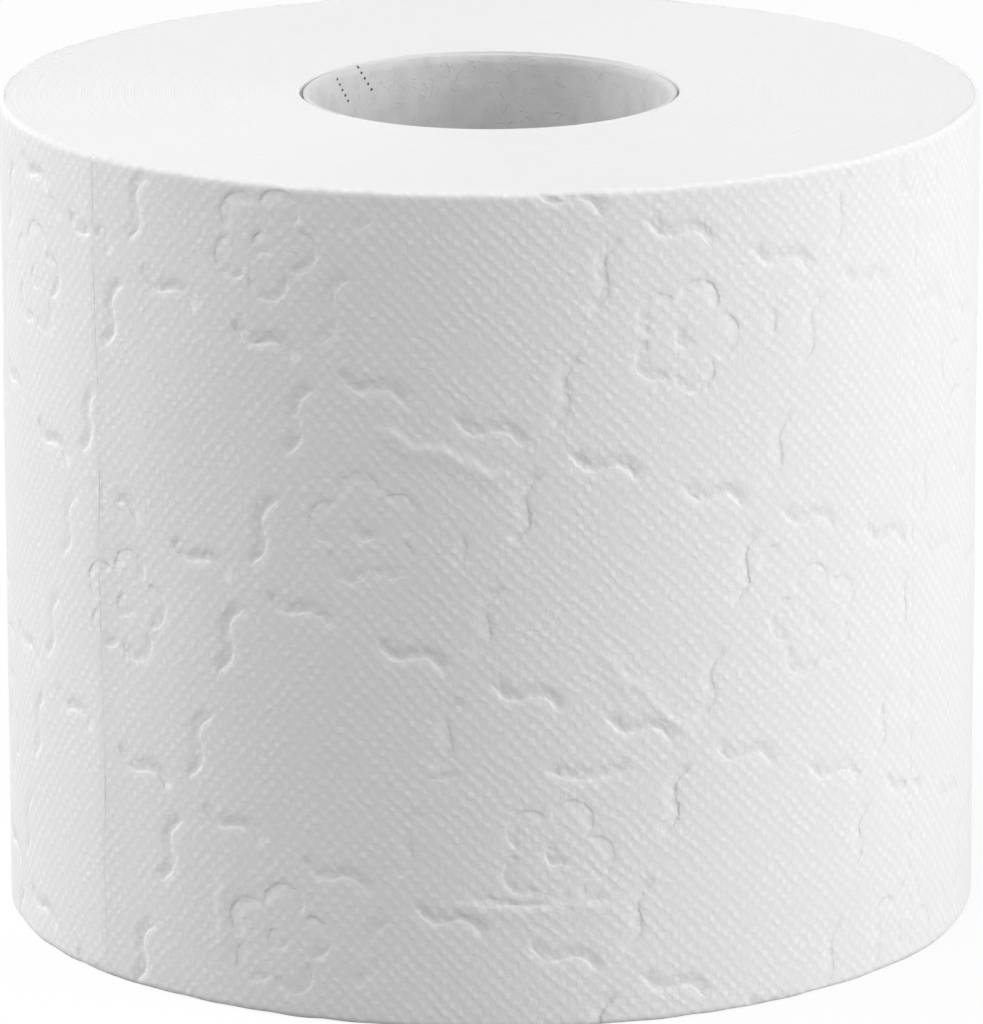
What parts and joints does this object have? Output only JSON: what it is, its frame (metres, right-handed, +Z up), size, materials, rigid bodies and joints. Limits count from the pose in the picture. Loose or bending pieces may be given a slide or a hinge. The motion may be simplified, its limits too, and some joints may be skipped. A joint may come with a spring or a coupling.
{
  "type": "toilet paper roll",
  "caption": "Roll of soft embossed toilet tissue wound on an open cardboard core, standing on its end, with the free edge of the strip down one side.",
  "frame": {"origin": "centre of the bottom end, on the core's axis, at the height of the surface that the roll stands on", "axes": "+Z up along the core's axis; -Y towards the viewer of the picture, +X to that viewer's right, with the strip's free edge at the front left"},
  "size_m": [0.1134, 0.1132, 0.096],
  "materials": {
    "tissue": "soft matte embossed tissue, white",
    "core_board": "uncoated board, nearly white, with fine fibres"
  },
  "bodies": {
    "root": {"tissue_roll": "tissue", "core_tube": "core_board"}
  },
  "joints": []
}
